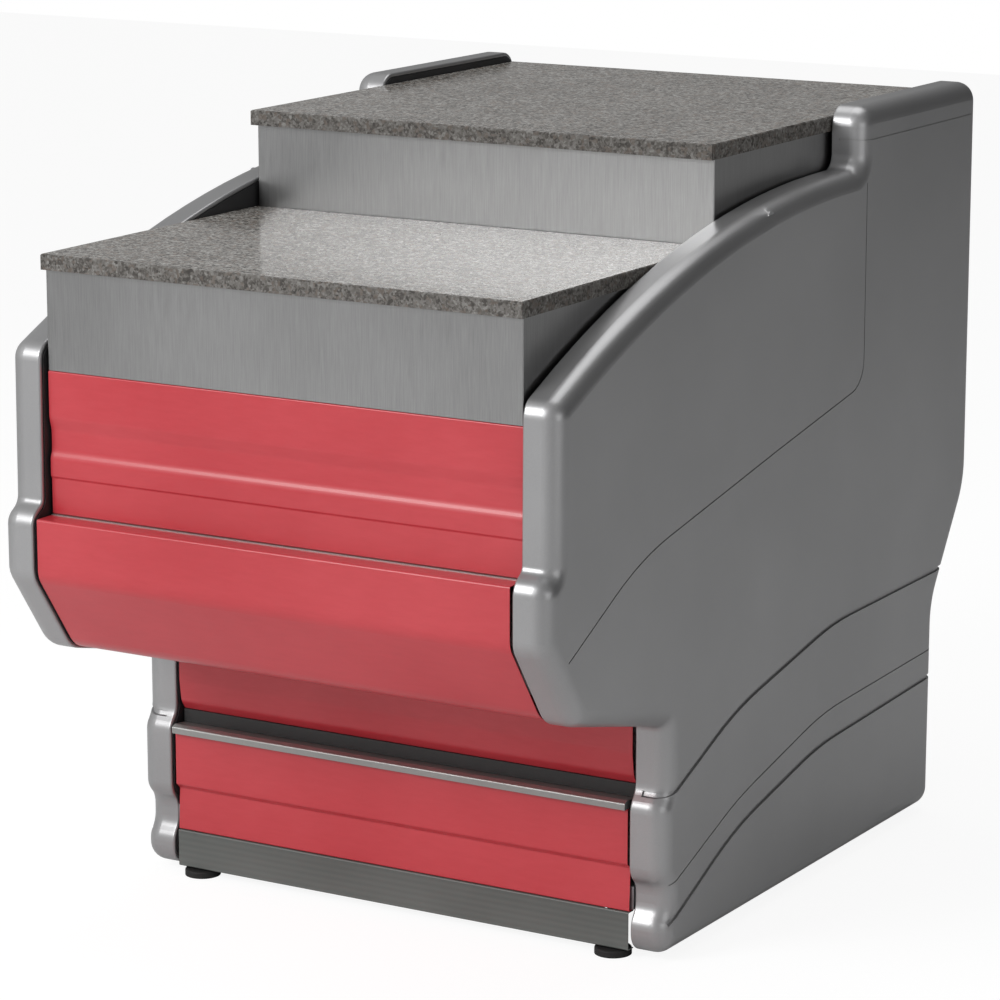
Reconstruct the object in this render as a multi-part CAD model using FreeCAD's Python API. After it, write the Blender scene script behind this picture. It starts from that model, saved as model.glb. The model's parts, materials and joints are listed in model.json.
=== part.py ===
import FreeCAD, Part
import os
from math import acos, sin, tan, cos, radians

# Cash desk module for a run of serve-over counters, in millimetres.
# X to the right seen from the customer side, Y from the customer side to the
# operator side, Z up. The origin is on the floor, under the middle of the box.

# Overall sizes
WIDTH = 800.0
DEPTH = 1190.0
CREST_Z = 1024.0            # top of the raised rear blocks of the side panels
PANEL_WIDTH = 50.0          # one moulded side panel
LOWER_TOP_Z = 880.0         # customer worktop
UPPER_TOP_Z = 1010.0        # operator worktop
STONE = 20.0

# Heights of the front, from the floor up
PANEL_BOTTOM_Z = 10.0
PLINTH_TOP_Z = 62.0
BASE_PANEL_TOP_Z = 198.0
STRIP_TOP_Z = 226.0
TOE_TOP_Z = 308.0
NOSE_BOTTOM_Z = 373.0
NOSE_TOP_Z = 546.0
APRON_BOTTOM_Z = 732.0

# Depths, from the front of the side panels backwards
NOSE_IN = 3.5               # nose panel inside the outline of the side panels
UPPER_FACE = 35.0
TOE_FACE = 303.0
RISER_FACE = 508.0
BLOCK_FACE = 828.0
REAR_TOE = 105.0            # how far the rear foot stands in from the rear edge
STONE_OVERHANG = 7.0
UPPER_STONE_OVERHANG = 13.0
REAR_STONE_GAP = 8.0

# Moulded side panels
SHELL_WALL = 5.0
EDGE_ROUND = 24.0
CORNER_ROUND = 26.0
TOP_SWEEP = 1750.0
INNER_EDGE_ROUND = 3.0
DARK_GROOVE = 6.5
DARK_GROOVE_DEPTH = 3.0
FINE_GROOVE = 2.0
FINE_GROOVE_DEPTH = 1.2
BOSS_R = 8.0
SHELL_SCREW_R = 2.4
SCREW_HOLE_GAP = 0.1
SHELL_SCREW_LENGTH = 18.0
PAN_HEAD_R = 4.5
PAN_HEAD_HEIGHT = 2.4

# Sheet metal and tubes
PLATE = 1.5
PLATE_INSET = SHELL_WALL + 1.0
SKIN = 1.2
RETURN = 14.0
PANEL_END_GAP = 3.5
STONE_END_GAP = 1.0
RAIL_WIDTH = 40.0
RAIL_HEIGHT = 25.0
TUBE_WALL = 2.0
END_CAP = 4.0
BOLT_R = 3.0
BOLT_HEAD_R = 5.5
BOLT_HEAD = 4.0

# Feet
FOOT_R = 24.0
FOOT_PAD = 9.0
FOOT_NECK_R = 9.0
FOOT_NECK = 7.0
STUD_R = 5.0
STUD_END_GAP = 0.5          # stud end below the base frame
FOOT_IN_X = 34.0            # foot axis from the inner face of the side panel
FOOT_IN_Y = 8.0             # front foot axis behind the toe face
REAR_FOOT_IN_Y = 14.0       # rear foot axis in front of the rear kick plate
RUNNING_GAP = 0.05
BASE_Z = 64.0
BASE_TUBE = 40.0
BASE_HEIGHT = 30.0
FOOT_NUT = 10.0
FOOT_NUT_R = 9.0

# Storage
SHELF_SHEET = 1.5
MID_SHELF_Z = 450.0
SHELF_EDGE = 25.0
TOE_RAIL_IN = 14.0
BACK_PANEL_GAP = 0.2
SHELF_SIDE_GAP = 2.0
CLIP_SIZE = 20.0
REAR_PLINTH_IN = 12.0

# Cash drawer
DRAWER_WIDTH = 420.0
DRAWER_HEIGHT = 96.0
DRAWER_LENGTH = 430.0
DRAWER_SHEET = 1.2
DRAWER_TRAVEL = 380.0
RUNNER_GAP = 13.0           # from the drawer side to the housing side
RUNNER_HEIGHT = 35.0
RUNNER_SHEET = 2.0
RUNNER_PLAY = 0.5
SKIRT = 30.0                # steel boxes reach this far below the lower deck
FASCIA_IN = 26.0            # fascia behind the rear edge of the side panels
DRAWER_FRONT = 12.0
DRAWER_FRONT_LAP = 8.0
DRAWER_FRONT_GAP = 1.5
OPENING_PLAY = 4.0
LOCK_R = 9.0
LOCK_PLUG_R = 6.0
LOCK_LENGTH = 20.0
CAM_SIZE = 27.0
CAM_WIDTH = 12.0
CAM_THICK = 2.0
TRAY_WALL = 2.5
TRAY_HEIGHT = 55.0
TRAY_GAP = 3.0
COIN_CUPS = 5
NOTE_BAYS = 4
CUP_LENGTH = 95.0
CUP_ROUND = 10.0
TRAY_FRONT_GAP = 34.0
GRIP_WIDTH = 110.0
GRIP_HEIGHT = 34.0
GRIP_DEPTH = 9.0
GRIP_WALL = 1.5
CORE_GAP = 0.2
DRAWER_SCREW_R = 2.0

# Sizes that follow
FRONT_Y = -DEPTH / 2
REAR_Y = DEPTH / 2
OUTER_X = WIDTH / 2
INNER_X = OUTER_X - PANEL_WIDTH
PLATE_X = INNER_X - PLATE
PANEL_X = PLATE_X - PANEL_END_GAP
STONE_X = PLATE_X - STONE_END_GAP
TOE_Y = FRONT_Y + TOE_FACE
RISER_Y = FRONT_Y + RISER_FACE
BLOCK_Y = FRONT_Y + BLOCK_FACE
APRON_Y = FRONT_Y + UPPER_FACE
REAR_LOW_Y = REAR_Y - REAR_TOE
SWEEP_TOP_Z = LOWER_TOP_Z + 61.0
LOWER_DECK_Z = LOWER_TOP_Z - STONE
UPPER_DECK_Z = UPPER_TOP_Z - STONE
FASCIA_Y = REAR_Y - FASCIA_IN
SKIRT_Z = LOWER_DECK_Z - SKIRT
FRAME_FRONT_Y = TOE_Y + 1.5
FRAME_REAR_Y = REAR_LOW_Y - REAR_PLINTH_IN - 2.0
BACK_Y = TOE_Y + TOE_RAIL_IN + RAIL_WIDTH + BACK_PANEL_GAP
SHELF_REAR_Y = REAR_LOW_Y - 20.0
FOOT_X = INNER_X - FOOT_IN_X
FOOT_FRONT_Y = TOE_Y + FOOT_IN_Y
FOOT_REAR_Y = REAR_LOW_Y - REAR_PLINTH_IN - REAR_FOOT_IN_Y
SIDES = {"left": -1, "right": 1}


def vec(y, z, x=0.0):
    return FreeCAD.Vector(x, y, z)


def box(x0, x1, y0, y1, z0, z1):
    return Part.makeBox(x1 - x0, y1 - y0, z1 - z0, FreeCAD.Vector(x0, y0, z0))


def rod(radius, length, at, axis):
    return Part.makeCylinder(radius, length, FreeCAD.Vector(*at), FreeCAD.Vector(*axis))


def hexagon(radius, length, at, axis):
    """Hexagonal prism whose corners lie on the radius."""
    corners = [FreeCAD.Vector(radius * cos(radians(60 * i)), radius * sin(radians(60 * i)), 0)
               for i in range(7)]
    prism = Part.Face(Part.makePolygon(corners)).extrude(FreeCAD.Vector(0, 0, length))
    turn = FreeCAD.Rotation(FreeCAD.Vector(0, 0, 1), FreeCAD.Vector(*axis))
    prism.Placement = FreeCAD.Placement(FreeCAD.Vector(*at), turn)
    return prism


def fuse(solids):
    solids = list(solids)
    return solids[0].multiFuse(solids[1:]).removeSplitter() if len(solids) > 1 else solids[0]


def save(name, shape):
    shape.exportStep("parts/" + name + ".step")
    print(name, len(shape.Solids), "solids", round(shape.Volume / 1000, 1), "cm3")


def mirrored(shape, side):
    """The shape is drawn on the right; the left one is its mirror image."""
    return shape if side > 0 else shape.mirror(FreeCAD.Vector(0, 0, 0), FreeCAD.Vector(1, 0, 0))


# Outlines: lists of (y, z, radius of the round at that corner)

def rounded_wire(points, closed=True):
    """Straight runs joined by tangent arcs, in the plane of Y and Z."""
    count = len(points)
    stops = []
    for i, (y, z, radius) in enumerate(points):
        here = vec(y, z)
        if radius <= 0 or (not closed and i in (0, count - 1)):
            stops.append((here, None, here))
            continue
        back = (vec(*points[i - 1][:2]) - here).normalize()
        ahead = (vec(*points[(i + 1) % count][:2]) - here).normalize()
        half = acos(max(-1, min(1, back.dot(ahead)))) / 2
        if half > radians(89.9):
            stops.append((here, None, here))
            continue
        inward = (back + ahead).normalize()
        reach = radius / tan(half)
        middle = here + inward * (radius / sin(half) - radius)
        stops.append((here + back * reach, middle, here + ahead * reach))
    edges = []
    for i, (start, middle, end) in enumerate(stops):
        if middle is not None:
            edges.append(Part.Arc(start, middle, end).toShape())
        if closed or i < count - 1:
            following = stops[(i + 1) % count][0]
            if (following - end).Length > 1e-4:
                edges.append(Part.LineSegment(end, following).toShape())
    return Part.Wire(edges)


def offset_path(points, distance, closed=False):
    """The path moved to its left, seen with Y to the right and Z up."""
    count = len(points)
    moved = []
    for i, (y, z, radius) in enumerate(points):
        normals = []
        for a, b in ((i - 1, i), (i, i + 1)):
            if closed or (a >= 0 and b < count):
                run = vec(*points[b % count][:2]) - vec(*points[a % count][:2])
                run.normalize()
                normals.append(vec(-run.z, run.y))
        if len(normals) == 1:
            shift = normals[0] * distance
        else:
            both = normals[0] + normals[1]
            shift = both * (2 * distance / both.dot(both))
            turn = normals[0].y * normals[1].z - normals[0].z * normals[1].y
            if radius > 0:
                radius = max(radius - distance if turn > 0 else radius + distance, 0)
        moved.append((y + shift.y, z + shift.z, radius))
    return moved


def prism(points, x0, x1):
    wire = rounded_wire(points)
    wire.translate(FreeCAD.Vector(x0, 0, 0))
    return Part.Face(wire).extrude(FreeCAD.Vector(x1 - x0, 0, 0))


def folded_sheet(path, thickness, x0, x1):
    """A sheet with its outside on the path and its thickness to the left."""
    return prism(path + offset_path(path, thickness)[::-1], x0, x1)


def ribbon(path, width, x0, x1):
    left = offset_path(path, width / 2)
    right = offset_path(path, -width / 2)
    return prism(left + right[::-1], x0, x1)


# Moulded side panels

def nose_corners():
    """Front and lower corner of the nose, shared by the side panels and the nose panel."""
    return [(FRONT_Y, NOSE_BOTTOM_Z + 97, 35), (FRONT_Y + 75, NOSE_BOTTOM_Z - 10.5, 45)]


def side_outline():
    """Counter-clockwise with Y to the right, from the bottom of the rear edge."""
    return [
        (REAR_LOW_Y + 2, 300, 90),
        (REAR_Y, 455, 120),
        (REAR_Y, CREST_Z, CORNER_ROUND),
        (BLOCK_Y, CREST_Z, CORNER_ROUND),
        (BLOCK_Y, SWEEP_TOP_Z, 20),
        (BLOCK_Y - 417, SWEEP_TOP_Z, TOP_SWEEP),
        (FRONT_Y + 24, LOWER_TOP_Z - 120, CORNER_ROUND),
        (FRONT_Y + 22, NOSE_TOP_Z + 17, 12),
        (FRONT_Y, NOSE_TOP_Z + 2, CORNER_ROUND),
        *nose_corners(),
        (TOE_Y, TOE_TOP_Z, 10),
        (TOE_Y, STRIP_TOP_Z - 2, CORNER_ROUND),
        (TOE_Y - 14, BASE_PANEL_TOP_Z + 6, CORNER_ROUND),
        (TOE_Y - 14, PLINTH_TOP_Z + 53, CORNER_ROUND),
        (TOE_Y + 2, PLINTH_TOP_Z + 35, CORNER_ROUND),
        (TOE_Y + 2, PLINTH_TOP_Z + 6, CORNER_ROUND),
        (TOE_Y - 10, PLINTH_TOP_Z - 12, CORNER_ROUND),
        (TOE_Y - 10, PANEL_BOTTOM_Z, CORNER_ROUND),
        (REAR_LOW_Y, PANEL_BOTTOM_Z, CORNER_ROUND),
    ]


def rounded_body(inset, start_x):
    """The panel's outer form, drawn in by the inset."""
    end_x = OUTER_X - inset
    outline = offset_path(side_outline(), inset, closed=True)
    body = prism(outline, start_x, end_x)
    rim = [e for e in body.Edges if e.BoundBox.XMin > end_x - 0.01]
    return body.makeFillet(EDGE_ROUND - inset, rim)


def grooves():
    """Styling grooves of the outer face: (path, width, depth)."""
    lower = [(TOE_Y - 40, STRIP_TOP_Z - 12, 0), (TOE_Y + 12, STRIP_TOP_Z - 4, 60),
             (TOE_Y + 180, 292, 600), (TOE_Y + 460, 345, 600), (REAR_Y + 20, 351, 0)]
    base = [(TOE_Y + 3, 52, 0), (TOE_Y + 180, 133, 600), (TOE_Y + 420, 184, 600),
            (REAR_Y, 204, 0)]
    light = [(TOE_Y + 8, 102, 0), (TOE_Y + 185, 170, 600), (TOE_Y + 430, 226, 600),
             (REAR_LOW_Y - 4, 238, 0)]
    sweep = [(BLOCK_Y + 9, 925, 0), (BLOCK_Y + 9, 655, 40), (BLOCK_Y - 240, 610, 300),
             (FRONT_Y + 224, 541, 500), (FRONT_Y + 48, 450, 0)]
    crown = [(BLOCK_Y - 2, CREST_Z - 43, 0), (REAR_Y - 26, CREST_Z - 43, 0)]
    return [(lower, DARK_GROOVE, DARK_GROOVE_DEPTH), (base, DARK_GROOVE, DARK_GROOVE_DEPTH),
            (light, FINE_GROOVE, FINE_GROOVE_DEPTH), (sweep, FINE_GROOVE, FINE_GROOVE_DEPTH),
            (crown, FINE_GROOVE, FINE_GROOVE_DEPTH)]


def shell_screw_places():
    return [
        (APRON_Y + 26, APRON_BOTTOM_Z - 46), (APRON_Y + 24, NOSE_TOP_Z - 46),
        (TOE_Y + 44, PLINTH_TOP_Z + 68), (TOE_Y + 44, STRIP_TOP_Z + 150),
        (BLOCK_Y - 150, MID_SHELF_Z + 60), (REAR_LOW_Y - 70, PLINTH_TOP_Z + 68),
        (REAR_Y - 70, MID_SHELF_Z + 130), (RISER_Y + 60, SWEEP_TOP_Z - 28),
        (REAR_Y - 60, SKIRT_Z - 90), (RISER_Y - 250, LOWER_DECK_Z - 60),
    ]


def side_shell():
    shell = rounded_body(0, INNER_X).cut(rounded_body(SHELL_WALL, INNER_X - 1))
    inner_rim = [e for e in shell.Edges
                 if e.BoundBox.XMax < INNER_X + 0.01
                 and e.BoundBox.YLength < DEPTH and outer_edge(e)]
    shell = shell.makeFillet(INNER_EDGE_ROUND, inner_rim)
    for path, width, depth in grooves():
        strip = ribbon(path, width, INNER_X + 12, OUTER_X + 1)
        shell = shell.cut(strip.cut(rounded_body(depth, INNER_X)))
    reach = OUTER_X - SHELL_WALL - INNER_X
    for y, z in shell_screw_places():
        boss = rod(BOSS_R, reach, (INNER_X, y, z), (1, 0, 0))
        hole = rod(SHELL_SCREW_R + SCREW_HOLE_GAP, SHELL_SCREW_LENGTH + 2, (INNER_X - 1, y, z), (1, 0, 0))
        shell = shell.fuse(boss).cut(hole)
    return shell.removeSplitter()


def outer_edge(edge):
    """True for an edge on the outer outline rather than the cavity's."""
    middle = edge.valueAt((edge.FirstParameter + edge.LastParameter) / 2)
    probe = Part.Vertex(FreeCAD.Vector(0, middle.y, middle.z))
    return rounded_wire(side_outline()).distToShape(probe)[0] < SHELL_WALL / 2


def side_plate():
    outline = offset_path(side_outline(), PLATE_INSET, closed=True)
    plate = prism(outline, PLATE_X, INNER_X)
    for y, z in shell_screw_places():
        plate = plate.cut(rod(SHELL_SCREW_R + SCREW_HOLE_GAP, 3, (PLATE_X - 1, y, z), (1, 0, 0)))
    for y, z in rail_bolt_places():
        plate = plate.cut(rod(BOLT_R + SCREW_HOLE_GAP, 3, (PLATE_X - 1, y, z), (1, 0, 0)))
    return plate


def shell_screws():
    screws = []
    for y, z in shell_screw_places():
        head = rod(PAN_HEAD_R, PAN_HEAD_HEIGHT, (PLATE_X - PAN_HEAD_HEIGHT, y, z), (1, 0, 0))
        rim = [e for e in head.Edges if e.BoundBox.XMax < PLATE_X - PAN_HEAD_HEIGHT + 0.01]
        head = head.makeFillet(PAN_HEAD_HEIGHT * 0.6, rim)
        shank = rod(SHELL_SCREW_R, SHELL_SCREW_LENGTH, (PLATE_X, y, z), (1, 0, 0))
        screws.append(head.fuse(shank))
    return Part.makeCompound(screws)


# Cross rails between the side plates: (y of the front face, z of the underside)

def rail_places():
    return [
        (APRON_Y + 16, APRON_BOTTOM_Z - RAIL_HEIGHT),
        (APRON_Y + 16, NOSE_TOP_Z - SKIN - RAIL_HEIGHT),
        (TOE_Y + TOE_RAIL_IN, TOE_TOP_Z - 3 - SKIN - RAIL_HEIGHT),
        (RISER_Y + 4, SKIRT_Z - RAIL_HEIGHT),
        (FASCIA_Y - RAIL_WIDTH - 6, SKIRT_Z - RAIL_HEIGHT),
    ]


def rail_bolt_places():
    return [(y + RAIL_WIDTH / 2, z + RAIL_HEIGHT / 2) for y, z in rail_places()]


def cross_rails():
    rails = []
    for y, z in rail_places():
        tube = box(-PLATE_X, PLATE_X, y, y + RAIL_WIDTH, z, z + RAIL_HEIGHT)
        hollow = box(-PLATE_X + END_CAP, PLATE_X - END_CAP, y + TUBE_WALL, y + RAIL_WIDTH - TUBE_WALL,
                     z + TUBE_WALL, z + RAIL_HEIGHT - TUBE_WALL)
        tube = tube.cut(hollow)
        centre_y = y + RAIL_WIDTH / 2
        centre_z = z + RAIL_HEIGHT / 2
        bore = rod(BOLT_R + SCREW_HOLE_GAP, 2 * PLATE_X + 2, (-PLATE_X - 1, centre_y, centre_z), (1, 0, 0))
        rails.append(tube.cut(bore))
    return Part.makeCompound(rails)


def rail_bolts():
    bolts = []
    for y, z in rail_bolt_places():
        head = hexagon(BOLT_HEAD_R, BOLT_HEAD, (INNER_X, y, z), (1, 0, 0))
        shank = rod(BOLT_R, PLATE + 14, (INNER_X - PLATE - 14, y, z), (1, 0, 0))
        bolt = head.fuse(shank)
        bolts += [bolt, mirrored(bolt, -1)]
    return Part.makeCompound(bolts)


# Steel boxes under the worktops, and the worktops

def steel_box_lower():
    rear_y = RISER_Y - 1.0
    outer = box(-PANEL_X, PANEL_X, APRON_Y, rear_y, APRON_BOTTOM_Z, LOWER_DECK_Z)
    inner = box(-PANEL_X + PLATE, PANEL_X - PLATE, APRON_Y + PLATE, rear_y + 1,
                APRON_BOTTOM_Z - 1, LOWER_DECK_Z - PLATE)
    lip = box(-PANEL_X + PLATE, PANEL_X - PLATE, APRON_Y + PLATE, APRON_Y + RETURN + 16,
              APRON_BOTTOM_Z, APRON_BOTTOM_Z + PLATE)
    edges = [e for e in outer.Edges
             if e.BoundBox.YMax < APRON_Y + 0.01 and e.BoundBox.ZLength > STONE]
    return outer.makeFillet(PLATE, edges).cut(inner).fuse(lip)


def steel_box_upper():
    rear_y = FASCIA_Y - PLATE
    bottom_z = SKIRT_Z
    outer = box(-PANEL_X, PANEL_X, RISER_Y, rear_y, bottom_z, UPPER_DECK_Z)
    edges = [e for e in outer.Edges
             if e.BoundBox.YMax < RISER_Y + 0.01 and e.BoundBox.ZLength > STONE]
    inner = box(-PANEL_X + PLATE, PANEL_X - PLATE, RISER_Y + PLATE, rear_y + 1,
                bottom_z - 1, UPPER_DECK_Z - PLATE)
    lip = box(-PANEL_X + PLATE, PANEL_X - PLATE, RISER_Y + PLATE, RISER_Y + RAIL_WIDTH,
              bottom_z, bottom_z + PLATE)
    return outer.makeFillet(PLATE, edges).cut(inner).fuse(lip)


def deck_ribs():
    """Hat-shaped stiffeners under both decks, across the width."""
    ribs = []
    half = PANEL_X - PLATE
    for deck_z, places in ((LOWER_DECK_Z, (APRON_Y + 120, RISER_Y - 130)),
                           (UPPER_DECK_Z, (RISER_Y + 70,))):
        for y in places:
            rib = box(-half, half, y, y + RAIL_WIDTH, deck_z - PLATE - RAIL_HEIGHT, deck_z - PLATE)
            hollow = box(-half - 1, half + 1, y + PLATE, y + RAIL_WIDTH - PLATE,
                         deck_z - RAIL_HEIGHT, deck_z)
            ribs.append(rib.cut(hollow))
    return Part.makeCompound(ribs)


def spacer_strips():
    """Packing bars between the steel boxes and the side plates."""
    bars = []
    for y0, y1, z0 in ((APRON_Y + 30, RISER_Y - 30, APRON_BOTTOM_Z + 4),
                       (RISER_Y + 20, FASCIA_Y - 30, LOWER_TOP_Z + 6)):
        bar = box(PANEL_X, PLATE_X, y0, y1, z0, z0 + 16)
        bars += [bar, mirrored(bar, -1)]
    return Part.makeCompound(bars)


def worktop(front_y, rear_y, top_z):
    slab = box(-STONE_X, STONE_X, front_y, rear_y, top_z - STONE, top_z)
    arris = [e for e in slab.Edges if e.BoundBox.ZMin > top_z - 0.01]
    return slab.makeChamfer(1.5, arris)


# Front panels, folded from painted sheet

def front_panel_upper():
    top_z = APRON_BOTTOM_Z - 0.6
    bottom_z = NOSE_TOP_Z + 1.2
    path = [(APRON_Y + RETURN, top_z, 0), (APRON_Y, top_z, 2), (APRON_Y, top_z - 60, 20),
            (APRON_Y + 4, top_z - 76, 20), (APRON_Y + 4, top_z - 102, 20),
            (APRON_Y + 0.5, top_z - 112, 20), (APRON_Y + 0.5, top_z - 135, 3),
            (APRON_Y + 2.5, top_z - 138, 3), (APRON_Y + 2.5, bottom_z, 2),
            (APRON_Y + RETURN, bottom_z, 0)]
    return folded_sheet(path, SKIN, -PANEL_X, PANEL_X)


def joint_strip():
    top_z = NOSE_TOP_Z + 1.2
    path = [(APRON_Y - 1, top_z, 0), (APRON_Y - 1, NOSE_TOP_Z, 0),
            (APRON_Y + RETURN, NOSE_TOP_Z, 0), (APRON_Y + RETURN, top_z, 0)]
    return prism(path, -PANEL_X, PANEL_X)


def nose_panel():
    edge = [(FRONT_Y, NOSE_TOP_Z + 20, 0), *nose_corners(), (TOE_Y, TOE_TOP_Z, 0)]
    path = offset_path(edge, NOSE_IN)
    end_y, end_z, _ = path[-1]
    path[0] = (path[0][0], NOSE_TOP_Z, 3)
    path = [(APRON_Y + RETURN, NOSE_TOP_Z, 0)] + path[:-1] + [(end_y, end_z, 2), (end_y + 1, end_z + 12, 0)]
    return folded_sheet(path, SKIN, -PANEL_X, PANEL_X)


def front_panel_lower():
    y = TOE_Y + 2
    top_z = TOE_TOP_Z - 3
    path = [(y + RETURN, top_z, 0), (y, top_z, 2), (y, top_z - 38, 30),
            (y + 4, STRIP_TOP_Z + 12, 20), (y + 12, STRIP_TOP_Z, 2), (y + RETURN + 12, STRIP_TOP_Z, 0)]
    return folded_sheet(path, SKIN, -PANEL_X, PANEL_X)


def trim_ledge():
    z0 = BASE_PANEL_TOP_Z
    path = [(TOE_Y - 17, z0 + 0.3, 0), (TOE_Y + 26, z0 + 0.3, 0), (TOE_Y + 26, z0 + 8, 0),
            (TOE_Y - 10, z0 + 12, 4), (TOE_Y - 17, z0 + 9, 3)]
    return prism(path[::-1], -PANEL_X, PANEL_X)


def trim_recess():
    z0 = BASE_PANEL_TOP_Z + 8
    outer = box(-PANEL_X, PANEL_X, TOE_Y + 12, TOE_Y + 26, z0, STRIP_TOP_Z - 0.2)
    hollow = box(-PANEL_X - 1, PANEL_X + 1, TOE_Y + 15, TOE_Y + 27, z0 + 2.5, STRIP_TOP_Z - 2.7)
    wedge = box(-PANEL_X - 1, PANEL_X + 1, TOE_Y + 11, TOE_Y + 27, z0 - 1, z0 + 2)
    return outer.cut(hollow).cut(wedge)


def front_panel_base():
    y = TOE_Y - 9
    top_z = BASE_PANEL_TOP_Z
    path = [(y + 30, top_z, 0), (y, top_z, 3), (y, top_z - 72, 4), (y + 8, top_z - 79, 4),
            (y + 5, PLINTH_TOP_Z, 2), (y + RETURN, PLINTH_TOP_Z, 0)]
    sheet = folded_sheet(path, SKIN, -PANEL_X, PANEL_X)
    for x in (-FOOT_X, FOOT_X):
        sheet = sheet.cut(rod(FOOT_NUT_R + 1.2, 3, (x, FOOT_FRONT_Y, PLINTH_TOP_Z - 1), (0, 0, 1)))
    return sheet


def plinth(y, facing, top_z):
    """Kick plate with a return at the top and bottom; facing is -1 for the front one."""
    path = [(y - facing * RETURN, top_z, 0), (y, top_z, 2), (y, PANEL_BOTTOM_Z + 1, 2),
            (y - facing * RETURN, PANEL_BOTTOM_Z + 1, 0)]
    thickness = SKIN if facing < 0 else -SKIN
    sheet = folded_sheet(path, thickness, -PANEL_X, PANEL_X)
    for x in (-FOOT_X, FOOT_X):
        near = FOOT_FRONT_Y if facing < 0 else FOOT_REAR_Y
        sheet = sheet.cut(rod(FOOT_NECK_R + 3, PLINTH_TOP_Z * 2, (x, near, -1), (0, 0, 1)))
    return sheet


# Base frame, feet and storage

def base_frame():
    half = PLATE_X
    z0 = BASE_Z
    z1 = BASE_Z + BASE_HEIGHT
    outer = box(-half, half, FRAME_FRONT_Y, FRAME_REAR_Y, z0, z1)
    window = box(-half + BASE_TUBE, half - BASE_TUBE, FRAME_FRONT_Y + BASE_TUBE,
                 FRAME_REAR_Y - BASE_TUBE, z0 - 1, z1 + 1)
    hollow = box(-half + TUBE_WALL, half - TUBE_WALL, FRAME_FRONT_Y + TUBE_WALL,
                 FRAME_REAR_Y - TUBE_WALL, z0 + TUBE_WALL, z1 - TUBE_WALL)
    island = box(-half + BASE_TUBE - TUBE_WALL, half - BASE_TUBE + TUBE_WALL,
                 FRAME_FRONT_Y + BASE_TUBE - TUBE_WALL, FRAME_REAR_Y - BASE_TUBE + TUBE_WALL,
                 z0 - 1, z1 + 1)
    return outer.cut(window).cut(hollow.cut(island))


def foot_nuts():
    nuts = []
    for x in (-FOOT_X, FOOT_X):
        for y in (FOOT_FRONT_Y, FOOT_REAR_Y):
            nut = hexagon(FOOT_NUT_R, FOOT_NUT, (x, y, BASE_Z - FOOT_NUT), (0, 0, 1))
            nuts.append(nut.cut(rod(STUD_R + RUNNING_GAP, FOOT_NUT + 2, (x, y, BASE_Z - FOOT_NUT - 1), (0, 0, 1))))
    return Part.makeCompound(nuts)


def foot_pad(x, y):
    disc = rod(FOOT_R, FOOT_PAD, (x, y, 0), (0, 0, 1))
    rims = [e for e in disc.Edges if e.BoundBox.ZMin > FOOT_PAD - 0.01]
    disc = disc.makeFillet(2.5, rims)
    neck = rod(FOOT_NECK_R, FOOT_NECK, (x, y, FOOT_PAD), (0, 0, 1))
    return disc.fuse(neck).cut(rod(STUD_R, FOOT_NECK + 8, (x, y, FOOT_PAD - 4), (0, 0, 1)))


def foot_stud(x, y):
    z0 = FOOT_PAD - 4
    z1 = BASE_Z - STUD_END_GAP
    stud = rod(STUD_R, z1 - z0, (x, y, z0), (0, 0, 1))
    rims = [e for e in stud.Edges if e.BoundBox.ZMin > z1 - 0.01]
    return stud.makeChamfer(1.0, rims)


def tray_sheet(x, y0, y1, top_z):
    """Shelf sheet with its edges turned down."""
    outer = box(-x, x, y0, y1, top_z - SHELF_EDGE, top_z)
    inner = box(-x + SHELF_SHEET, x - SHELF_SHEET, y0 + SHELF_SHEET, y1 - SHELF_SHEET,
                top_z - SHELF_EDGE - 1, top_z - SHELF_SHEET)
    return outer.cut(inner)


def bottom_shelf():
    top_z = BASE_Z + BASE_HEIGHT + SHELF_EDGE
    return tray_sheet(PLATE_X - SHELF_SIDE_GAP, BACK_Y + PLATE + 0.5, SHELF_REAR_Y, top_z)


def mid_shelf():
    return tray_sheet(PLATE_X - SHELF_SIDE_GAP, BACK_Y + PLATE + 0.5, SHELF_REAR_Y - 20, MID_SHELF_Z)


def shelf_clips():
    """Angle clips that carry the middle shelf, bolted to the side plates."""
    clips = []
    z1 = MID_SHELF_Z - SHELF_EDGE
    for y in (BACK_Y + 60, (BACK_Y + SHELF_REAR_Y) / 2, SHELF_REAR_Y - 90):
        leg = box(PLATE_X - 2, PLATE_X, y, y + CLIP_SIZE * 2, z1 - CLIP_SIZE * 1.5, z1)
        seat = box(PLATE_X - CLIP_SIZE, PLATE_X, y, y + CLIP_SIZE * 2, z1 - 2, z1)
        clip = leg.fuse(seat)
        clips += [clip, mirrored(clip, -1)]
    return Part.makeCompound(clips)


def back_panel():
    """Sheet that closes the storage towards the customer side."""
    wide = PLATE_X - 0.5
    narrow = PANEL_X - PLATE - 0.5
    lower = box(-wide, wide, BACK_Y, BACK_Y + PLATE, BASE_Z + BASE_HEIGHT, APRON_BOTTOM_Z - 1)
    upper = box(-narrow, narrow, BACK_Y, BACK_Y + PLATE, APRON_BOTTOM_Z - 1, LOWER_DECK_Z - PLATE)
    return fuse([lower, upper])


# Cash drawer

def drawer_zone():
    """Height of the drawer box's underside and the y of its rear face."""
    z0 = UPPER_DECK_Z - PLATE - 10 - DRAWER_HEIGHT
    return z0, FASCIA_Y + PLATE + DRAWER_FRONT_GAP


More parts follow.
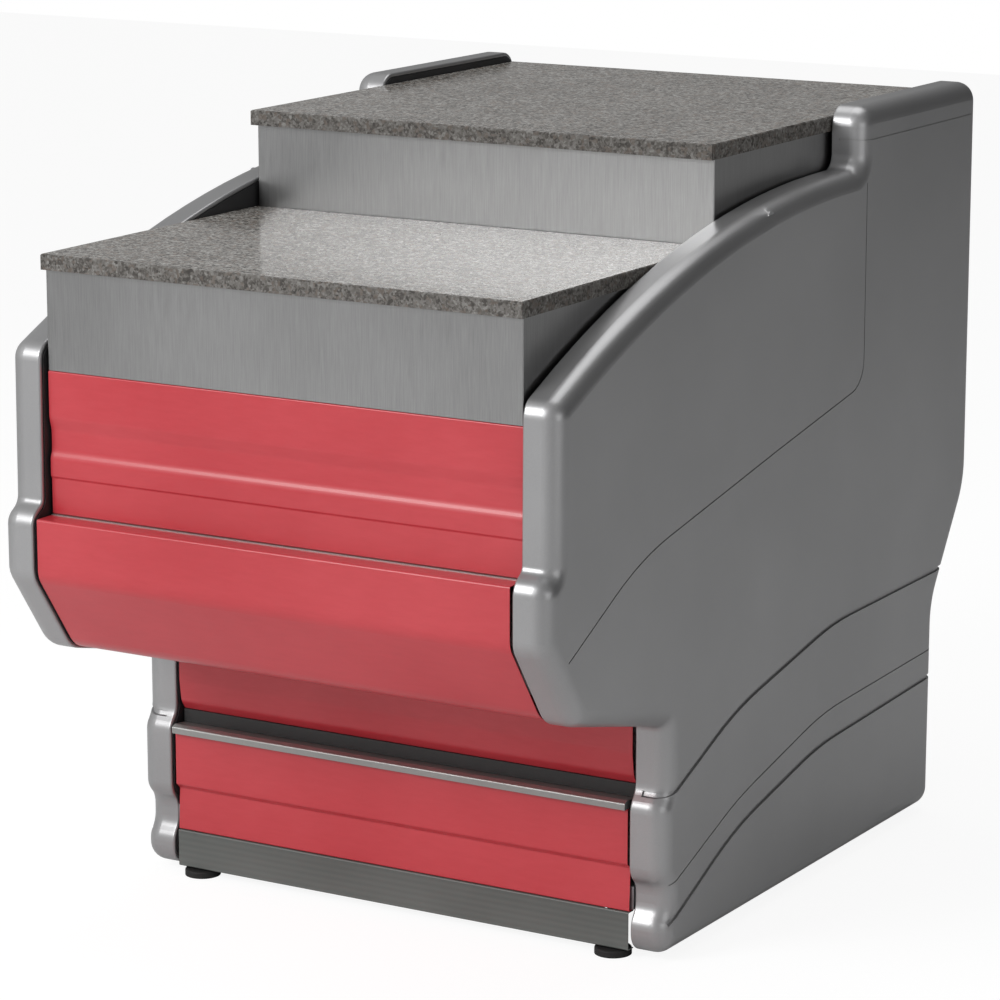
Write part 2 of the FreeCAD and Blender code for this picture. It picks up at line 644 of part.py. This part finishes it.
def rear_fascia():
    z0, _ = drawer_zone()
    half = DRAWER_WIDTH / 2 + RUNNER_GAP
    inside = PANEL_X - PLATE - 0.3
    sheet = box(-PANEL_X, PANEL_X, FASCIA_Y - PLATE, FASCIA_Y, SKIRT_Z, UPPER_DECK_Z)
    flange = box(-inside, inside, FASCIA_Y - RETURN - PLATE, FASCIA_Y, SKIRT_Z, SKIRT_Z + PLATE)
    opening = box(-half, half, FASCIA_Y - 5, FASCIA_Y + 5, z0 - OPENING_PLAY,
                  z0 + DRAWER_HEIGHT + OPENING_PLAY)
    return sheet.fuse(flange).cut(opening)


def drawer_housing():
    """Sheet channel hung from the deck; the runners are fixed to its sides."""
    z0, _ = drawer_zone()
    half = DRAWER_WIDTH / 2 + RUNNER_GAP
    y1 = FASCIA_Y - PLATE
    y0 = y1 - DRAWER_LENGTH - 20
    top_z = UPPER_DECK_Z - PLATE
    bottom_z = z0 - 8
    outer = box(-half - PLATE, half + PLATE, y0, y1, bottom_z, top_z)
    inner = box(-half, half, y0 + PLATE, y1 + 1, bottom_z - 1, top_z + 1)
    wings = [box(half, half + 25, y0, y1, top_z - PLATE, top_z),
             box(-half - 25, -half, y0, y1, top_z - PLATE, top_z)]
    return fuse([outer.cut(inner)] + wings)


def runner_levels():
    z0, _ = drawer_zone()
    middle = z0 + DRAWER_HEIGHT / 2
    return middle - RUNNER_HEIGHT / 2, middle + RUNNER_HEIGHT / 2


def channel(x_back, x_open, y0, y1, z0, z1, wall):
    """Channel along Y; its web is at x_back and its open side faces x_open."""
    low, high = min(x_back, x_open), max(x_back, x_open)
    outer = box(low, high, y0, y1, z0, z1)
    if x_open < x_back:
        inner = box(low - 1, high - wall, y0 - 1, y1 + 1, z0 + wall, z1 - wall)
    else:
        inner = box(low + wall, high + 1, y0 - 1, y1 + 1, z0 + wall, z1 - wall)
    return outer.cut(inner)


def runner_outer():
    z0, z1 = runner_levels()
    x = DRAWER_WIDTH / 2 + RUNNER_GAP
    y1 = FASCIA_Y - PLATE - 2
    return channel(x, x - 9, y1 - DRAWER_LENGTH + 8, y1, z0, z1, RUNNER_SHEET)


def runner_mid():
    z0, z1 = runner_levels()
    lift = RUNNER_SHEET + RUNNER_PLAY
    x = DRAWER_WIDTH / 2 + RUNNER_GAP - RUNNER_SHEET - RUNNER_PLAY
    y1 = FASCIA_Y - PLATE - 3
    return channel(x, x - 7.5, y1 - DRAWER_LENGTH + 12, y1, z0 + lift, z1 - lift, 1.5)


def runner_inner():
    z0, z1 = runner_levels()
    lift = RUNNER_SHEET + 1.5 + 2 * RUNNER_PLAY
    x = DRAWER_WIDTH / 2
    y1 = FASCIA_Y - PLATE - 3
    reach = RUNNER_GAP - RUNNER_SHEET - 1.5 - 3 * RUNNER_PLAY
    return channel(x, x + reach, y1 - DRAWER_LENGTH + 14, y1, z0 + lift, z1 - lift, 1.5)


def drawer_box():
    z0, y1 = drawer_zone()
    half = DRAWER_WIDTH / 2
    outer = box(-half, half, y1 - DRAWER_LENGTH, y1, z0, z0 + DRAWER_HEIGHT)
    inner = box(-half + DRAWER_SHEET, half - DRAWER_SHEET, y1 - DRAWER_LENGTH + DRAWER_SHEET,
                y1 - DRAWER_SHEET, z0 + DRAWER_SHEET, z0 + DRAWER_HEIGHT + 1)
    hole = lock_hole(LOCK_R + 0.2)
    return with_screw_holes(outer.cut(inner).cut(hole))


def drawer_screw_places():
    z0, _ = drawer_zone()
    half = DRAWER_WIDTH / 2 - 25
    return [(x, z) for x in (-half, half) for z in (z0 + 18, z0 + DRAWER_HEIGHT - 18)]


def with_screw_holes(shape):
    """Screw holes of the drawer front, through the front wall of the box."""
    _, y1 = drawer_zone()
    for x, z in drawer_screw_places():
        shape = shape.cut(rod(DRAWER_SCREW_R + SCREW_HOLE_GAP, 4, (x, y1 - 3, z), (0, 1, 0)))
    return shape


def drawer_screws():
    _, y1 = drawer_zone()
    screws = []
    for x, z in drawer_screw_places():
        head = rod(DRAWER_SCREW_R * 2, 2, (x, y1 - DRAWER_SHEET - 2, z), (0, 1, 0))
        shank = rod(DRAWER_SCREW_R, DRAWER_SHEET + 8, (x, y1 - DRAWER_SHEET, z), (0, 1, 0))
        screws.append(head.fuse(shank))
    return Part.makeCompound(screws)


def lock_centre():
    z0, y1 = drawer_zone()
    return 0.0, y1, z0 + DRAWER_HEIGHT - 20


def lock_hole(radius):
    x, y, z = lock_centre()
    return rod(radius, 60, (x, y - 30, z), (0, 1, 0))


def front_limits(inset=0.0):
    """Half width, underside and top of the drawer front, drawn in by the inset."""
    z0, _ = drawer_zone()
    half = DRAWER_WIDTH / 2 + RUNNER_GAP + DRAWER_FRONT_LAP - inset
    return half, z0 - OPENING_PLAY - DRAWER_FRONT_LAP + inset, z0 + DRAWER_HEIGHT + OPENING_PLAY - inset


def grip_block(inset, y0, y1):
    """Rounded block in the place of the finger grip."""
    _, low, _ = front_limits()
    block = box(-GRIP_WIDTH / 2 + inset, GRIP_WIDTH / 2 - inset, y0, y1,
                low + 12 + inset, low + 12 + GRIP_HEIGHT - inset)
    corners = [e for e in block.Edges if e.BoundBox.YLength > 1]
    return block.makeFillet(8.0 - inset, corners)


def drawer_front():
    """Steel pan around a board core."""
    _, y1 = drawer_zone()
    half, low, high = front_limits()
    pan = box(-half, half, y1, y1 + DRAWER_FRONT, low, high)
    rim = [e for e in pan.Edges if e.BoundBox.YMin > y1 + DRAWER_FRONT - 0.01]
    pan = pan.makeFillet(1.5, rim)
    half, low, high = front_limits(DRAWER_SHEET)
    pan = pan.cut(box(-half, half, y1 - 1, y1 + DRAWER_FRONT - DRAWER_SHEET - 0.8, low, high))
    return pan.cut(grip_block(0, y1, y1 + DRAWER_FRONT + 1)).cut(lock_hole(LOCK_R + 0.2))


def drawer_core():
    _, y1 = drawer_zone()
    half, low, high = front_limits(DRAWER_SHEET + CORE_GAP)
    board = box(-half, half, y1, y1 + DRAWER_FRONT - DRAWER_SHEET - 0.8 - CORE_GAP, low, high)
    for x, z in drawer_screw_places():
        board = board.cut(rod(DRAWER_SCREW_R + SCREW_HOLE_GAP, 8.5, (x, y1 - 0.1, z), (0, 1, 0)))
    return board.cut(grip_block(0, y1 - 1, y1 + DRAWER_FRONT + 1)).cut(lock_hole(LOCK_R + 0.2))


def drawer_grip():
    """Recessed finger cup with a flange around the hole."""
    _, y1 = drawer_zone()
    face = y1 + DRAWER_FRONT
    cup = grip_block(CORE_GAP, face - GRIP_DEPTH, face + GRIP_WALL)
    flange = grip_block(-3.0, face, face + GRIP_WALL)
    rim = [e for e in flange.Edges if e.BoundBox.YMin > face + GRIP_WALL - 0.01]
    flange = flange.makeFillet(1.0, rim)
    hollow = grip_block(CORE_GAP + GRIP_WALL, face - GRIP_DEPTH + GRIP_WALL, face + GRIP_WALL + 1)
    return cup.fuse(flange).cut(hollow)


def lock_barrel():
    x, y, z = lock_centre()
    start = y - LOCK_LENGTH + DRAWER_FRONT
    body = rod(LOCK_R, LOCK_LENGTH, (x, start, z), (0, 1, 0))
    collar = rod(LOCK_R + 2, 2, (x, y + DRAWER_FRONT, z), (0, 1, 0))
    nut = hexagon(LOCK_R + 4, 4, (x, y - DRAWER_SHEET - 4, z), (0, 1, 0))
    bore = rod(LOCK_PLUG_R + RUNNING_GAP, LOCK_LENGTH + 6, (x, start - 1, z), (0, 1, 0))
    return fuse([body, collar, nut]).cut(bore)


def lock_plug():
    x, y, z = lock_centre()
    start = y - LOCK_LENGTH + DRAWER_FRONT
    plug = rod(LOCK_PLUG_R, LOCK_LENGTH + 1.5 + CAM_THICK + 1.0, (x, start - CAM_THICK - 1.0, z), (0, 1, 0))
    slot = box(x - 0.8, x + 0.8, y + DRAWER_FRONT - 6, y + DRAWER_FRONT + 5, z - 3.5, z + 3.5)
    return plug.cut(slot)


def lock_cam():
    """Lies along X at rest, unlocked; a quarter turn lifts it behind the fascia."""
    x, y, z = lock_centre()
    start = y - LOCK_LENGTH + DRAWER_FRONT - CAM_THICK - 0.5
    tongue = box(x, x + CAM_SIZE, start, start + CAM_THICK, z - CAM_WIDTH / 2, z + CAM_WIDTH / 2)
    head = rod(CAM_WIDTH / 2 + 3, CAM_THICK, (x, start, z), (0, 1, 0))
    return tongue.fuse(head).cut(rod(LOCK_PLUG_R, 10, (x, start - 4, z), (0, 1, 0)))


def tray_limits():
    """Half width, back, front and base of the coin tray, and where cups and bays part."""
    z0, y1 = drawer_zone()
    half = DRAWER_WIDTH / 2 - DRAWER_SHEET - TRAY_GAP
    back = y1 - DRAWER_LENGTH + DRAWER_SHEET + TRAY_GAP
    front = y1 - DRAWER_SHEET - TRAY_FRONT_GAP
    return half, back, front, z0 + DRAWER_SHEET, front - TRAY_WALL - CUP_LENGTH


def tray_pockets(count, y0, y1):
    half, _, _, base, _ = tray_limits()
    pitch = (2 * half - TRAY_WALL) / count
    pockets = []
    for i in range(count):
        x0 = -half + TRAY_WALL + i * pitch
        pockets.append(box(x0, x0 + pitch - TRAY_WALL, y0, y1, base + TRAY_WALL, base + TRAY_HEIGHT + 1))
    return pockets


def coin_tray():
    """Moulded insert: note bays at the back, coin cups at the front."""
    half, back, front, base, split = tray_limits()
    tray = box(-half, half, back, front, base, base + TRAY_HEIGHT)
    for cup in tray_pockets(COIN_CUPS, split, front - TRAY_WALL):
        floor = [e for e in cup.Edges
                 if e.BoundBox.ZMax < base + TRAY_WALL + 0.01 and e.BoundBox.XLength > 5]
        tray = tray.cut(cup.makeFillet(CUP_ROUND, floor))
    for bay in tray_pockets(NOTE_BAYS, back + TRAY_WALL, split - TRAY_WALL):
        tray = tray.cut(bay)
    return tray


def main():
    os.makedirs("parts", exist_ok=True)
    shell = side_shell()
    plate = side_plate()
    screws = shell_screws()
    outer, middle, inner = runner_outer(), runner_mid(), runner_inner()
    for side, sign in SIDES.items():
        save("side_shell_" + side, mirrored(shell, sign))
        save("side_plate_" + side, mirrored(plate, sign))
        save("shell_screws_" + side, mirrored(screws, sign))
        save("runner_outer_" + side, mirrored(outer, sign))
        save("runner_mid_" + side, mirrored(middle, sign))
        save("runner_inner_" + side, mirrored(inner, sign))
        for end, y in (("front", FOOT_FRONT_Y), ("rear", FOOT_REAR_Y)):
            save("foot_pad_" + end + "_" + side, foot_pad(sign * FOOT_X, y))
            save("foot_stud_" + end + "_" + side, foot_stud(sign * FOOT_X, y))
    save("cross_rails", cross_rails())
    save("rail_bolts", rail_bolts())
    save("steel_box_lower", steel_box_lower())
    save("steel_box_upper", steel_box_upper())
    save("deck_ribs", deck_ribs())
    save("spacer_strips", spacer_strips())
    save("worktop_lower", worktop(APRON_Y - STONE_OVERHANG, RISER_Y - 1, LOWER_TOP_Z))
    save("worktop_upper", worktop(RISER_Y - UPPER_STONE_OVERHANG, REAR_Y - REAR_STONE_GAP, UPPER_TOP_Z))
    save("front_panel_upper", front_panel_upper())
    save("joint_strip", joint_strip())
    save("nose_panel", nose_panel())
    save("front_panel_lower", front_panel_lower())
    save("trim_ledge", trim_ledge())
    save("trim_recess", trim_recess())
    save("front_panel_base", front_panel_base())
    save("plinth_front", plinth(TOE_Y - 6, -1, PLINTH_TOP_Z - 0.4))
    save("plinth_rear", plinth(REAR_LOW_Y - REAR_PLINTH_IN, 1, BASE_Z - 0.4))
    save("base_frame", base_frame())
    save("foot_nuts", foot_nuts())
    save("bottom_shelf", bottom_shelf())
    save("mid_shelf", mid_shelf())
    save("shelf_clips", shelf_clips())
    save("back_panel", back_panel())
    save("rear_fascia", rear_fascia())
    save("drawer_housing", drawer_housing())
    save("drawer_box", drawer_box())
    save("drawer_front", drawer_front())
    save("drawer_core", drawer_core())
    save("drawer_grip", drawer_grip())
    save("drawer_screws", drawer_screws())
    save("lock_barrel", lock_barrel())
    save("lock_plug", lock_plug())
    save("lock_cam", lock_cam())
    save("coin_tray", coin_tray())


main()
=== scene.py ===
import bpy
import json
from math import radians
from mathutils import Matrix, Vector

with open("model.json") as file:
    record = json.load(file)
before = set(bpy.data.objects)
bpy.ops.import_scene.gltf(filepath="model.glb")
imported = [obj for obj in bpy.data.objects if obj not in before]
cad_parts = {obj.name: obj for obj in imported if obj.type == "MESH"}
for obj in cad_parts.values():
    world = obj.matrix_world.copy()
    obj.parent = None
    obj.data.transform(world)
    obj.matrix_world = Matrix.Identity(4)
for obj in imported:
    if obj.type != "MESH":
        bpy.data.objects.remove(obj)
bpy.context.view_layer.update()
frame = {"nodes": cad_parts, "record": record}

nodes = frame["nodes"]


class Socket:
    # a shader value that takes part in ordinary sums
    def __init__(self, tree, link):
        self.tree = tree
        self.link = link

    def mathNode(self, operation, other, swap=False):
        node = self.tree.nodes.new("ShaderNodeMath")
        node.operation = operation
        for slot, value in zip(node.inputs, (other, self) if swap else (self, other)):
            if isinstance(value, Socket):
                self.tree.links.new(value.link, slot)
            else:
                slot.default_value = value
        return Socket(self.tree, node.outputs[0])

    def __add__(self, other):
        return self.mathNode("ADD", other)

    def __sub__(self, other):
        return self.mathNode("SUBTRACT", other)

    def __rsub__(self, other):
        return self.mathNode("SUBTRACT", other, True)

    def __mul__(self, other):
        return self.mathNode("MULTIPLY", other)

    def __gt__(self, other):
        return self.mathNode("GREATER_THAN", other)


class Finish:
    # one material, its shader and the nodes around it
    def __init__(self, name, **fixed):
        self.material = bpy.data.materials.new(name)
        self.material.use_nodes = True
        self.tree = self.material.node_tree
        self.shader = self.tree.nodes["Principled BSDF"]
        for label, value in fixed.items():
            self.shader.inputs[label.replace("_", " ")].default_value = value
        self.place = self.node("ShaderNodeTexCoord").outputs["Object"]

    def fill(self, slot, value):
        # a socket is linked, a plain value is set
        if isinstance(value, Socket):
            self.tree.links.new(value.link, slot)
        elif isinstance(value, bpy.types.NodeSocket):
            self.tree.links.new(value, slot)
        else:
            slot.default_value = value

    def node(self, kind, settings=None, **sockets):
        node = self.tree.nodes.new(kind)
        for name, value in (settings or {}).items():
            setattr(node, name, value)
        for name, value in sockets.items():
            self.fill(node.inputs[name.replace("_", " ")], value)
        return node

    def noise(self, scale, detail=3.0, stretch=(1, 1, 1), rough=0.5):
        placed = self.node("ShaderNodeMapping", Vector=self.place, Scale=stretch).outputs[0]
        made = self.node("ShaderNodeTexNoise", Vector=placed, Scale=scale, Detail=detail, Roughness=rough)
        return Socket(self.tree, made.outputs["Fac"])

    def cells(self, scale, channel):
        # one random tone for each cell
        made = self.node("ShaderNodeTexVoronoi", Vector=self.place, Scale=scale)
        split = self.node("ShaderNodeSeparateColor", Color=made.outputs["Color"])
        return Socket(self.tree, split.outputs[channel])

    def ramp(self, value, stops):
        made = self.node("ShaderNodeValToRGB", Fac=value)
        elements = made.color_ramp.elements
        while len(elements) < len(stops):
            elements.new(0.5)
        for element, (position, colour) in zip(elements, stops):
            element.position = position
            element.color = (*colour, 1)
        return made.outputs["Color"]

    def axis(self, vector, letter):
        split = self.node("ShaderNodeSeparateXYZ", Vector=vector)
        return Socket(self.tree, split.outputs[letter])

    def facing(self, letter):
        # how far the surface faces an axis
        return self.axis(self.node("ShaderNodeNewGeometry").outputs["Normal"], letter)

    def mixColour(self, amount, first, second):
        made = self.node("ShaderNodeMix", {"data_type": "RGBA"})
        for index, value in ((0, amount), (6, first), (7, second)):
            self.fill(made.inputs[index], (*value, 1) if isinstance(value, tuple) else value)
        return made.outputs[2]

    def feed(self, name, value):
        self.fill(self.shader.inputs[name], value)

    def bump(self, height, distance, strength=1.0):
        made = self.node("ShaderNodeBump", Height=height, Distance=distance, Strength=strength)
        self.feed("Normal", made.outputs["Normal"])


mouldingLook = {"base": (0.36, 0.36, 0.365), "worn": (0.44, 0.44, 0.445), "metal": 0.75, "coat": 0.15,
                "coatRough": 0.25, "rough": 0.28, "cloudSize": 3.0, "grainSize": 900.0, "grain": 0.00006}


def mouldedGrey():
    look = mouldingLook
    f = Finish("mouldedGrey", Metallic=look["metal"], Coat_Weight=look["coat"],
               Coat_Roughness=look["coatRough"])
    cloud = f.noise(look["cloudSize"], 4)
    grain = f.noise(look["grainSize"], 2)
    f.feed("Base Color", f.ramp(cloud * 0.7 + grain * 0.3, [(0.35, look["base"]), (0.68, look["worn"])]))
    f.feed("Roughness", cloud * 0.10 + grain * 0.06 + look["rough"])
    f.bump(grain, look["grain"], 0.5)
    return f.material


steelLook = {"dark": (0.30, 0.30, 0.30), "light": (0.40, 0.40, 0.40), "rough": 0.20,
             "brushSize": 60.0, "brushStretch": (12, 12, 0.35), "cloudSize": 2.5, "line": 0.00002}


def brushedSteel():
    look = steelLook
    f = Finish("steelUpright", Metallic=1.0)
    brush = f.noise(look["brushSize"], 6, look["brushStretch"], 0.7)
    cloud = f.noise(look["cloudSize"], 3)
    f.feed("Base Color", f.ramp(brush * 0.6 + cloud * 0.4, [(0.35, look["dark"]), (0.65, look["light"])]))
    f.feed("Roughness", brush * 0.14 + cloud * 0.08 + look["rough"])
    f.bump(brush, look["line"], 0.6)
    return f.material


redLook = {"deep": (0.50, 0.030, 0.042), "bright": (0.58, 0.050, 0.064), "coat": 0.30, "coatRough": 0.20,
           "rough": 0.26, "cloudSize": 4.0, "peelSize": 420.0, "scuffSize": 30.0, "peel": 0.00005}


def redPaint():
    look = redLook
    f = Finish("redPaint", Coat_Weight=look["coat"], Coat_Roughness=look["coatRough"])
    cloud = f.noise(look["cloudSize"], 3)
    peel = f.noise(look["peelSize"], 2)
    scuff = f.noise(look["scuffSize"], 6, (1, 1, 5), 0.65)
    f.feed("Base Color", f.ramp(cloud * 0.7 + scuff * 0.3, [(0.36, look["deep"]), (0.66, look["bright"])]))
    f.feed("Roughness", scuff * 0.14 + peel * 0.05 + look["rough"])
    f.bump(peel, look["peel"], 0.35)
    return f.material


graniteLook = {"grainSize": 360.0, "speckSize": 190.0, "cloudSize": 9.0, "polish": 0.12, "sawn": 0.55,
               "brown": (0.16, 0.095, 0.055), "brownFrom": 0.86, "brownShare": 0.55,
               # the dark edge tone and its share paint shade on the faces that do not face up
               "edge": (0.030, 0.026, 0.022), "edgeShare": 0.62, "topFrom": 0.9, "chip": 0.0004,
               "greys": [(0.0, (0.020, 0.018, 0.016)), (0.20, (0.085, 0.075, 0.066)),
                         (0.42, (0.24, 0.225, 0.205)), (0.62, (0.36, 0.345, 0.325)),
                         (0.80, (0.50, 0.49, 0.465)), (1.0, (0.66, 0.65, 0.62))]}


def granite():
    # polished on top and sawn on the edges; the darker colour of the edge faces is painted shade
    look = graniteLook
    f = Finish("granite", Specular_IOR_Level=0.5)
    small = f.cells(look["grainSize"], 0)
    large = f.cells(look["speckSize"], 1)
    cloud = f.noise(look["cloudSize"], 4)
    top = f.ramp(small * 0.55 + large * 0.45 + (cloud - 0.5) * 0.25, look["greys"])
    flecked = f.mixColour((large > look["brownFrom"]) * look["brownShare"], top, look["brown"])
    upward = f.facing("Z") > look["topFrom"]
    # painted shade: faces that do not face up are mixed toward the dark edge tone
    edge = f.mixColour(look["edgeShare"], flecked, look["edge"])
    f.feed("Base Color", f.mixColour(upward, edge, flecked))
    f.feed("Roughness", look["sawn"] - upward * (look["sawn"] - look["polish"]) + small * 0.05)
    f.bump(small * (1.05 - upward), look["chip"], 0.8)
    return f.material


def painted(name, colour, rough=0.4, metallic=0.0, grain=0.00004, wear=0.25, size=350.0):
    f = Finish(name, Metallic=metallic)
    cloud = f.noise(5.0, 5)
    fine = f.noise(size, 2)
    low = tuple(c * (1 - wear) for c in colour)
    high = tuple(min(1, c * (1 + wear)) for c in colour)
    f.feed("Base Color", f.ramp(cloud * 0.65 + fine * 0.35, [(0.33, low), (0.68, high)]))
    f.feed("Roughness", cloud * 0.16 + fine * 0.08 + (rough - 0.12))
    f.bump(fine, grain, 0.5)
    return f.material


zincLook = {"dark": (0.34, 0.35, 0.36), "light": (0.52, 0.53, 0.54), "metal": 0.85, "rough": 0.28,
            "spangleSize": 95.0, "waveSize": 120.0, "wave": 0.00003}


def galvanised():
    look = zincLook
    f = Finish("galvanised", Metallic=look["metal"])
    tone = f.cells(look["spangleSize"], 0)
    f.feed("Base Color", f.ramp(tone, [(0.0, look["dark"]), (1.0, look["light"])]))
    f.feed("Roughness", tone * 0.2 + look["rough"])
    f.bump(f.noise(look["waveSize"], 3), look["wave"], 0.4)
    return f.material


plinthLook = {"dark": (0.115, 0.125, 0.118), "light": (0.175, 0.188, 0.178), "metal": 0.25, "rough": 0.38,
              # the height term paints shade, darker towards the top of the kick plate
              "lineScale": 38.0, "line": 0.00012, "cloudSize": 6.0, "middle": 0.062, "paintedShade": 5.0}


def ribbedPlinth():
    # fine lines along the kick plate, and painted shade making it darker towards its top, under the front
    # panel
    look = plinthLook
    f = Finish("ribbedPlinth", Metallic=look["metal"])
    height = f.axis(f.place, "Z")
    wave = f.node("ShaderNodeTexWave", {"bands_direction": "Z"}, Vector=f.place,
                  Scale=look["lineScale"], Distortion=0.0)
    lines = Socket(f.tree, wave.outputs["Fac"])
    cloud = f.noise(look["cloudSize"], 4)
    # painted shade: the colour darkens with height towards the top of the kick plate
    f.feed("Base Color", f.ramp(cloud * 0.5 + lines * 0.12 + (look["middle"] - height) * look["paintedShade"],
                                [(0.25, look["dark"]), (0.75, look["light"])]))
    f.feed("Roughness", cloud * 0.15 + look["rough"])
    f.bump(lines, look["line"], 0.4)
    return f.material


boardLook = {"dark": (0.30, 0.20, 0.12), "light": (0.50, 0.37, 0.24), "rough": 0.85,
             "fibreSize": 160.0, "fibre": 0.0001}


def fibreBoard():
    look = boardLook
    f = Finish("fibreBoard", Roughness=look["rough"])
    fibre = f.noise(look["fibreSize"], 6, (1, 3, 1), 0.7)
    f.feed("Base Color", f.ramp(fibre, [(0.3, look["dark"]), (0.7, look["light"])]))
    f.bump(fibre, look["fibre"], 0.5)
    return f.material


materials = {
    "moulding_grey": mouldedGrey(),
    "steel": brushedSteel(),
    "red_panel": redPaint(),
    "granite": granite(),
    "plate_dark": painted("darkPlate", (0.030, 0.030, 0.032), rough=0.45, metallic=0.2),
    "strip_grey": painted("anodisedStrip", (0.34, 0.345, 0.335), rough=0.38, metallic=0.75,
                          grain=0.00002, wear=0.10, size=700.0),
    "strip_dark": painted("darkStrip", (0.028, 0.029, 0.029), rough=0.5),
    "plinth_grey": ribbedPlinth(),
    "foot_black": painted("footRubber", (0.012, 0.012, 0.012), rough=0.7, grain=0.0001, wear=0.4),
    "zinc": painted("zincPlate", (0.55, 0.55, 0.52), rough=0.34, metallic=0.95,
                    grain=0.00002, wear=0.14, size=500.0),
    "frame_zinc": galvanised(),
    "shelf_white": painted("shelfPaint", (0.60, 0.60, 0.585), rough=0.42, grain=0.00005, wear=0.06),
    "tray_black": painted("trayPlastic", (0.022, 0.022, 0.024), rough=0.55, grain=0.00008),
    "drawer_steel": painted("drawerPaint", (0.055, 0.056, 0.060), rough=0.45, metallic=0.2),
    "lock_chrome": painted("lockChrome", (0.62, 0.62, 0.63), rough=0.18, metallic=1.0,
                           grain=0.00001, wear=0.06),
    "core_board": fibreBoard(),
}
slotOf = {entry["node"]: entry["material_slot"] for entry in frame["record"]["subparts"]}
for name, piece in nodes.items():
    for materialSlot in piece.material_slots:
        materialSlot.material = materials[slotOf[name]]
print("finishes are on", len(nodes), "nodes")


studio = {"lens": 143.3, "spot": (2.646, -4.484, 1.659), "tilt": 77.42, "turn": 30.73,
          "floorHalf": 9.0, "floorTone": 0.80, "floorRough": 0.9, "floorGlow": 0.80, "glowPower": 1.12,
          "worldDim": 0.06, "worldBright": 0.62, "worldMiddle": 0.5, "worldAcross": 0.40, "worldAlong": 0.45}
lamps = {"key": {"spot": (-1.6, -3.6, 2.6), "target": (0, 0, 0.5), "size": (1.8, 1.8), "power": 95},
         "fill": {"spot": (3.4, -1.6, 1.2), "target": (0, 0, 0.4), "size": (2.0, 1.6), "power": 10},
         "top": {"spot": (0.0, 0.6, 3.4), "target": (0, 0, 0.9), "size": (2.2, 2.2), "power": 26}}


def grey(tone):
    return (tone, tone, tone, 1)


def addCamera():
    data = bpy.data.cameras.new("camera")
    data.lens = studio["lens"]
    data.sensor_width = 36
    camera = bpy.data.objects.new("camera", data)
    camera.location = studio["spot"]
    camera.rotation_euler = (radians(studio["tilt"]), 0, radians(studio["turn"]))
    bpy.context.collection.objects.link(camera)
    bpy.context.scene.camera = camera


def backgroundShader(tree, seen, lit):
    # seen is what the camera meets, lit is what every other ray meets
    path = tree.nodes.new("ShaderNodeLightPath")
    mix = tree.nodes.new("ShaderNodeMixShader")
    tree.links.new(path.outputs["Is Camera Ray"], mix.inputs[0])
    tree.links.new(lit, mix.inputs[1])
    tree.links.new(seen, mix.inputs[2])
    return mix.outputs[0]


def addFloor():
    half = studio["floorHalf"]
    mesh = bpy.data.meshes.new("floor")
    mesh.from_pydata([(-half, -half, 0), (half, -half, 0), (half, half, 0), (-half, half, 0)],
                     [], [(0, 1, 2, 3)])
    floor = bpy.data.objects.new("floor", mesh)
    bpy.context.collection.objects.link(floor)
    material = bpy.data.materials.new("floorPaper")
    material.use_nodes = True
    tree = material.node_tree
    paper = tree.nodes["Principled BSDF"]
    paper.inputs["Base Color"].default_value = grey(studio["floorTone"])
    paper.inputs["Roughness"].default_value = studio["floorRough"]
    glow = tree.nodes.new("ShaderNodeEmission")
    glow.inputs["Strength"].default_value = studio["glowPower"]
    mix = tree.nodes.new("ShaderNodeMixShader")
    mix.inputs[0].default_value = studio["floorGlow"]
    tree.links.new(paper.outputs[0], mix.inputs[1])
    tree.links.new(glow.outputs[0], mix.inputs[2])
    tree.links.new(backgroundShader(tree, mix.outputs[0], paper.outputs[0]),
                   tree.nodes["Material Output"].inputs["Surface"])
    mesh.materials.append(material)


def addWorld():
    # soft light from the customer side and the left, and a dark room behind on the right
    world = bpy.data.worlds.new("studio")
    world.use_nodes = True
    bpy.context.scene.world = world
    tree = world.node_tree
    lit = tree.nodes["Background"]
    where = tree.nodes.new("ShaderNodeSeparateXYZ")
    tree.links.new(tree.nodes.new("ShaderNodeTexCoord").outputs["Generated"], where.inputs[0])
    across = Socket(tree, where.outputs["X"]) * studio["worldAcross"]
    along = Socket(tree, where.outputs["Y"]) * studio["worldAlong"]
    ramp = tree.nodes.new("ShaderNodeValToRGB")
    ramp.color_ramp.elements[0].color = grey(studio["worldDim"])
    ramp.color_ramp.elements[1].color = grey(studio["worldBright"])
    tree.links.new((studio["worldMiddle"] - across - along).link, ramp.inputs["Fac"])
    tree.links.new(ramp.outputs["Color"], lit.inputs["Color"])
    seen = tree.nodes.new("ShaderNodeBackground")
    seen.inputs["Color"].default_value = grey(1)
    tree.links.new(backgroundShader(tree, seen.outputs[0], lit.outputs[0]),
                   tree.nodes["World Output"].inputs["Surface"])


def addLamp(name, spot, target, size, power):
    data = bpy.data.lights.new(name, "AREA")
    data.shape = "RECTANGLE"
    data.size, data.size_y = size
    data.energy = power
    lamp = bpy.data.objects.new(name, data)
    lamp.location = spot
    direction = Vector(target) - Vector(spot)
    lamp.rotation_euler = direction.to_track_quat("-Z", "Y").to_euler()
    bpy.context.collection.objects.link(lamp)


addCamera()
addFloor()
addWorld()
for name, lamp in lamps.items():
    addLamp(name, **lamp)
bpy.context.scene.view_settings.view_transform = "Standard"
print("studio is set")
